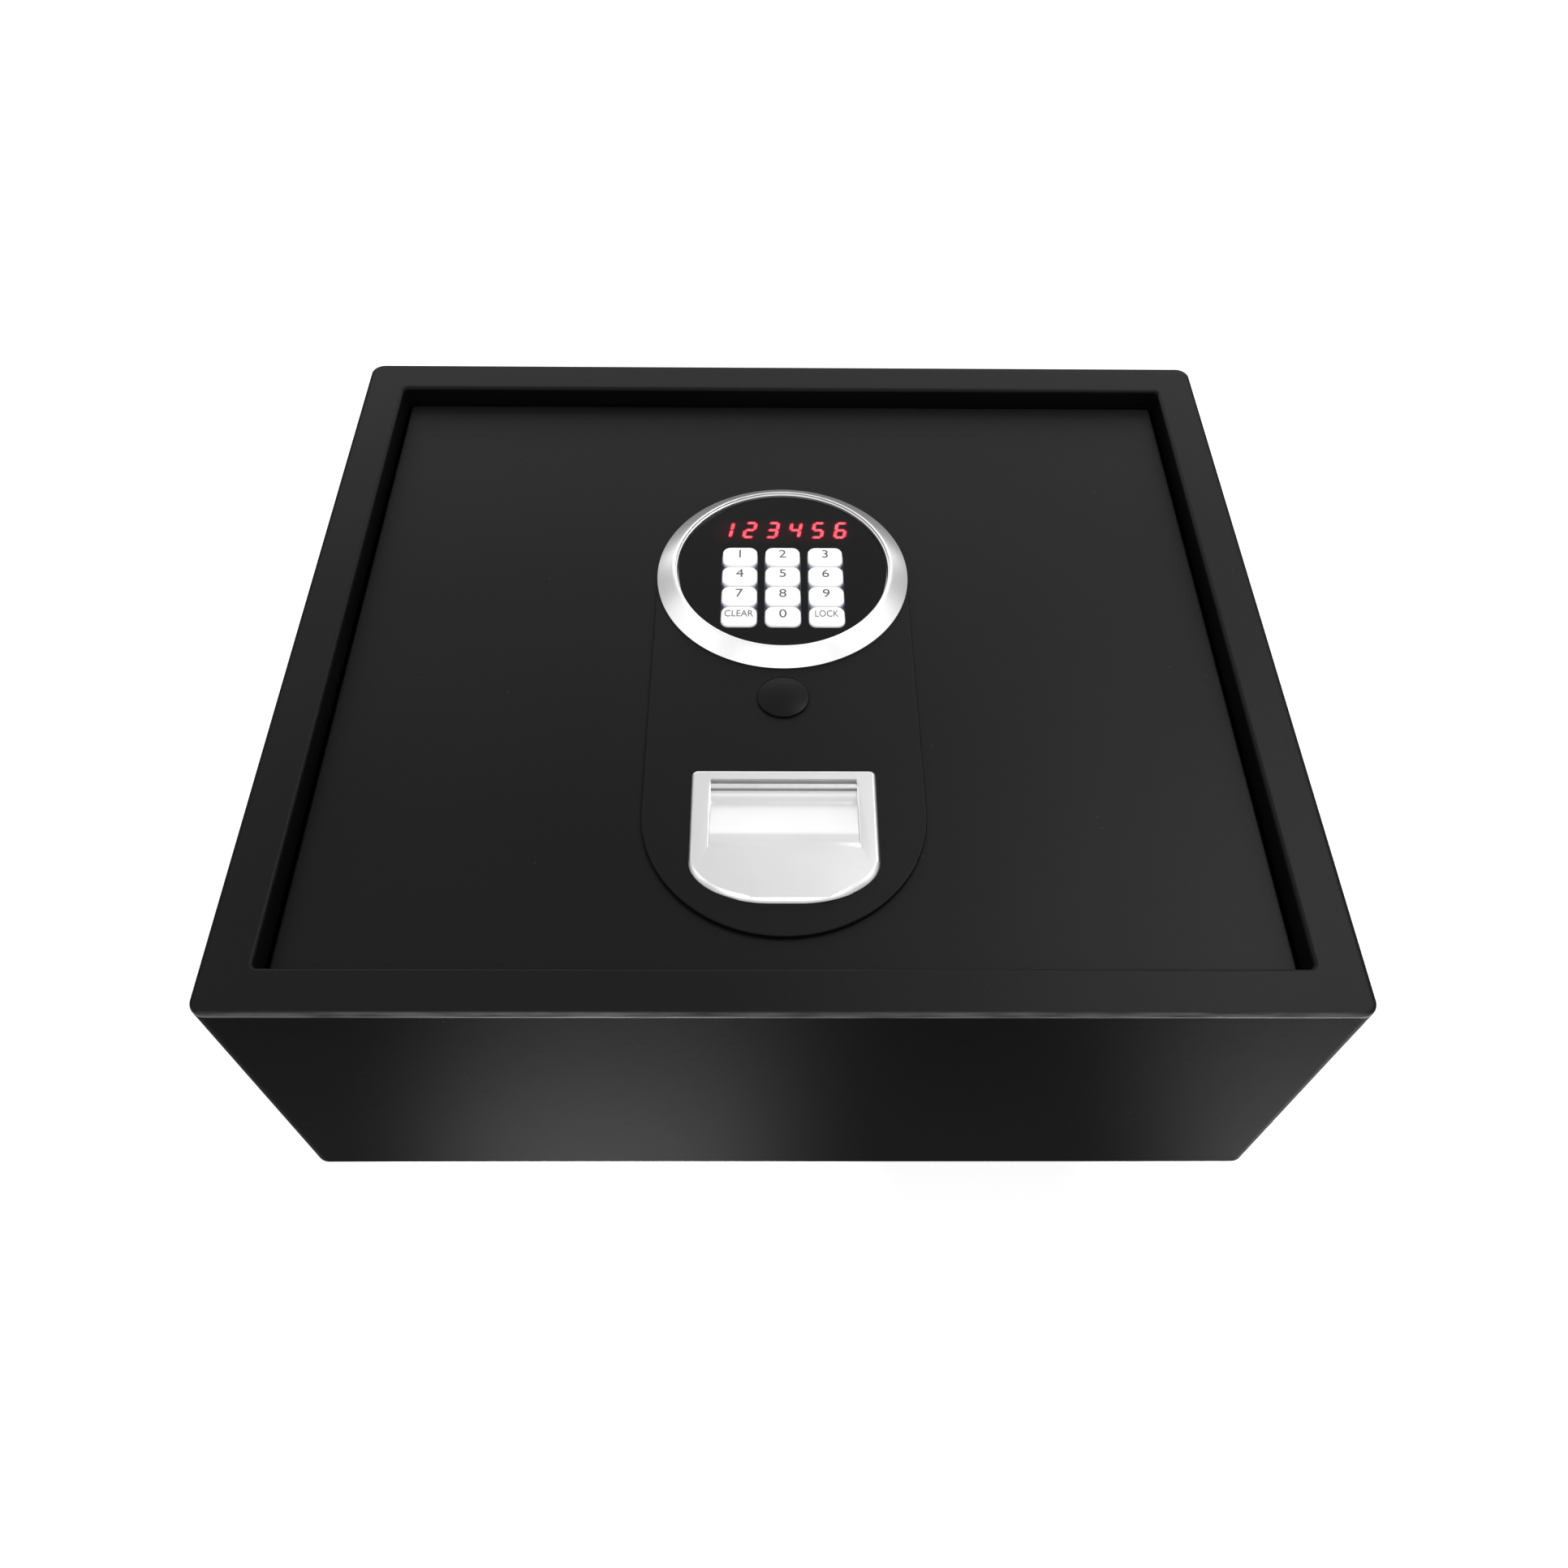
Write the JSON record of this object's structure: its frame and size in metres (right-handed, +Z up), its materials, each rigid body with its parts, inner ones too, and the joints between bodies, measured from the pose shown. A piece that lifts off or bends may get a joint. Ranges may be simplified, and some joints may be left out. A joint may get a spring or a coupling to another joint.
{
  "type": "top opening hotel safe",
  "caption": "Black steel box safe with a sunk hinged lid, a round keypad in a metal bezel, a keyhole cap, a finger pull and a motor bolt lock under the lid.",
  "frame": {"origin": "middle of the underside of the base", "axes": "+Z up, the front wall towards -Y, +X to the right when seen from the front"},
  "size_m": [0.4, 0.35, 0.145],
  "materials": {
    "black_powder_coat": "fine satin powder coat",
    "satin_metal": "satin, soft sheen",
    "bright_steel": "smooth ground steel",
    "zinc_steel": "zinc plated sheet",
    "dark_steel": "dark oxide",
    "spring_steel": "drawn wire",
    "felt": "needle felt",
    "rubber": "matte",
    "smoked_lens": "glossy smoked acrylic",
    "black_plastic": "fine grain",
    "white_key": "satin white",
    "silicone": "translucent silicone",
    "circuit_board": "solder mask",
    "display": "red seven segment blocks",
    "lock_brass": "machined",
    "barrel_nickel": "nickel plated",
    "nylon": "natural nylon",
    "cell_wrap": "plain printed wrap",
    "contact_metal": "nickel plated spring sheet",
    "cable": "flat cable",
    "red_button": "moulded"
  },
  "bodies": {
    "body": {"body_shell": "black_powder_coat", "base_plate": "black_powder_coat", "top_frame": "black_powder_coat", "strike_bracket": "black_powder_coat", "rest_brackets": "black_powder_coat", "lid_buffers": "rubber", "hinge_brackets": "black_powder_coat", "hinge_pins": "bright_steel", "hinge_clips": "spring_steel", "hinge_springs": "spring_steel", "floor_mat": "felt"},
    "lid": {"lid_plate": "black_powder_coat", "hinge_lugs": "black_powder_coat", "fascia_plate": "black_powder_coat", "bezel_ring": "satin_metal", "finger_pull": "satin_metal", "keypad_lens": "smoked_lens", "keypad_housing": "black_plastic", "key_mat": "silicone", "keypad_board": "circuit_board", "display_module": "display", "override_barrel": "barrel_nickel", "machine_screws": "bright_steel", "lock_chassis": "zinc_steel", "bolt_bushings": "nylon", "guide_posts": "bright_steel", "gear_motor": "bright_steel", "motor_clamp": "black_plastic", "control_board": "circuit_board", "battery_case": "black_plastic", "battery_cells": "cell_wrap", "battery_contacts": "contact_metal", "lock_cover": "black_powder_coat", "cover_screws": "dark_steel", "reset_switch": "black_plastic", "ribbon_cable": "cable"},
    "key_1": {"key_1": "white_key"},
    "key_2": {"key_2": "white_key"},
    "key_3": {"key_3": "white_key"},
    "key_4": {"key_4": "white_key"},
    "key_5": {"key_5": "white_key"},
    "key_6": {"key_6": "white_key"},
    "key_7": {"key_7": "white_key"},
    "key_8": {"key_8": "white_key"},
    "key_9": {"key_9": "white_key"},
    "key_clear": {"key_clear": "white_key"},
    "key_0": {"key_0": "white_key"},
    "key_lock": {"key_lock": "white_key"},
    "keyhole_cap": {"keyhole_cap": "black_plastic"},
    "override": {"override_core": "lock_brass", "override_cam": "zinc_steel"},
    "bolts": {"bolt_carriage": "zinc_steel", "locking_bolts": "bright_steel", "bolt_screws": "dark_steel", "drive_rack": "nylon"},
    "pinion": {"drive_pinion": "nylon", "output_shaft": "bright_steel"},
    "battery_door": {"battery_door": "black_plastic"},
    "reset_button": {"reset_button": "red_button"}
  },
  "joints": [
    {"name": "lid_hinge", "type": "hinge", "parent": "body", "child": "lid", "pos_m": [0, 0.1405, 0.126], "axis": [-1, 0, 0], "range_deg": [0, 98]},
    {"name": "key_1_press", "type": "slide", "parent": "lid", "child": "key_1", "axis": [0, 0, -1], "range_m": [0, 0.001], "stiffness_N_per_m": 400, "springref_m": -0.0006},
    {"name": "key_2_press", "type": "slide", "parent": "lid", "child": "key_2", "axis": [0, 0, -1], "range_m": [0, 0.001], "stiffness_N_per_m": 400, "springref_m": -0.0006},
    {"name": "key_3_press", "type": "slide", "parent": "lid", "child": "key_3", "axis": [0, 0, -1], "range_m": [0, 0.001], "stiffness_N_per_m": 400, "springref_m": -0.0006},
    {"name": "key_4_press", "type": "slide", "parent": "lid", "child": "key_4", "axis": [0, 0, -1], "range_m": [0, 0.001], "stiffness_N_per_m": 400, "springref_m": -0.0006},
    {"name": "key_5_press", "type": "slide", "parent": "lid", "child": "key_5", "axis": [0, 0, -1], "range_m": [0, 0.001], "stiffness_N_per_m": 400, "springref_m": -0.0006},
    {"name": "key_6_press", "type": "slide", "parent": "lid", "child": "key_6", "axis": [0, 0, -1], "range_m": [0, 0.001], "stiffness_N_per_m": 400, "springref_m": -0.0006},
    {"name": "key_7_press", "type": "slide", "parent": "lid", "child": "key_7", "axis": [0, 0, -1], "range_m": [0, 0.001], "stiffness_N_per_m": 400, "springref_m": -0.0006},
    {"name": "key_8_press", "type": "slide", "parent": "lid", "child": "key_8", "axis": [0, 0, -1], "range_m": [0, 0.001], "stiffness_N_per_m": 400, "springref_m": -0.0006},
    {"name": "key_9_press", "type": "slide", "parent": "lid", "child": "key_9", "axis": [0, 0, -1], "range_m": [0, 0.001], "stiffness_N_per_m": 400, "springref_m": -0.0006},
    {"name": "key_clear_press", "type": "slide", "parent": "lid", "child": "key_clear", "axis": [0, 0, -1], "range_m": [0, 0.001], "stiffness_N_per_m": 400, "springref_m": -0.0006},
    {"name": "key_0_press", "type": "slide", "parent": "lid", "child": "key_0", "axis": [0, 0, -1], "range_m": [0, 0.001], "stiffness_N_per_m": 400, "springref_m": -0.0006},
    {"name": "key_lock_press", "type": "slide", "parent": "lid", "child": "key_lock", "axis": [0, 0, -1], "range_m": [0, 0.001], "stiffness_N_per_m": 400, "springref_m": -0.0006},
    {"name": "cap_pull", "type": "slide", "parent": "lid", "child": "keyhole_cap", "axis": [0, 0, 1], "range_m": [0, 0.03]},
    {"name": "override_turn", "type": "hinge", "parent": "lid", "child": "override", "pos_m": [0, -0.032, 0.12], "axis": [0, 0, -1], "range_deg": [-90, 0]},
    {"name": "bolt_slide", "type": "slide", "parent": "lid", "child": "bolts", "axis": [0, -1, 0], "range_m": [0, 0.015]},
    {"name": "pinion_turn", "type": "hinge", "parent": "lid", "child": "pinion", "pos_m": [0.024, -0.056, 0.12125], "axis": [-1, 0, 0], "range_deg": [0, 123]},
    {"name": "battery_door_swing", "type": "hinge", "parent": "lid", "child": "battery_door", "pos_m": [0, 0.0747, 0.0985], "axis": [1, 0, 0], "range_deg": [0, 95]},
    {"name": "reset_press", "type": "slide", "parent": "lid", "child": "reset_button", "axis": [0, 0, 1], "range_m": [0, 0.001], "stiffness_N_per_m": 300, "springref_m": -0.0005}
  ],
  "couplings": [
    {"joint": "pinion_turn", "follows": "bolt_slide", "rad_per_m": 142.86}
  ]
}
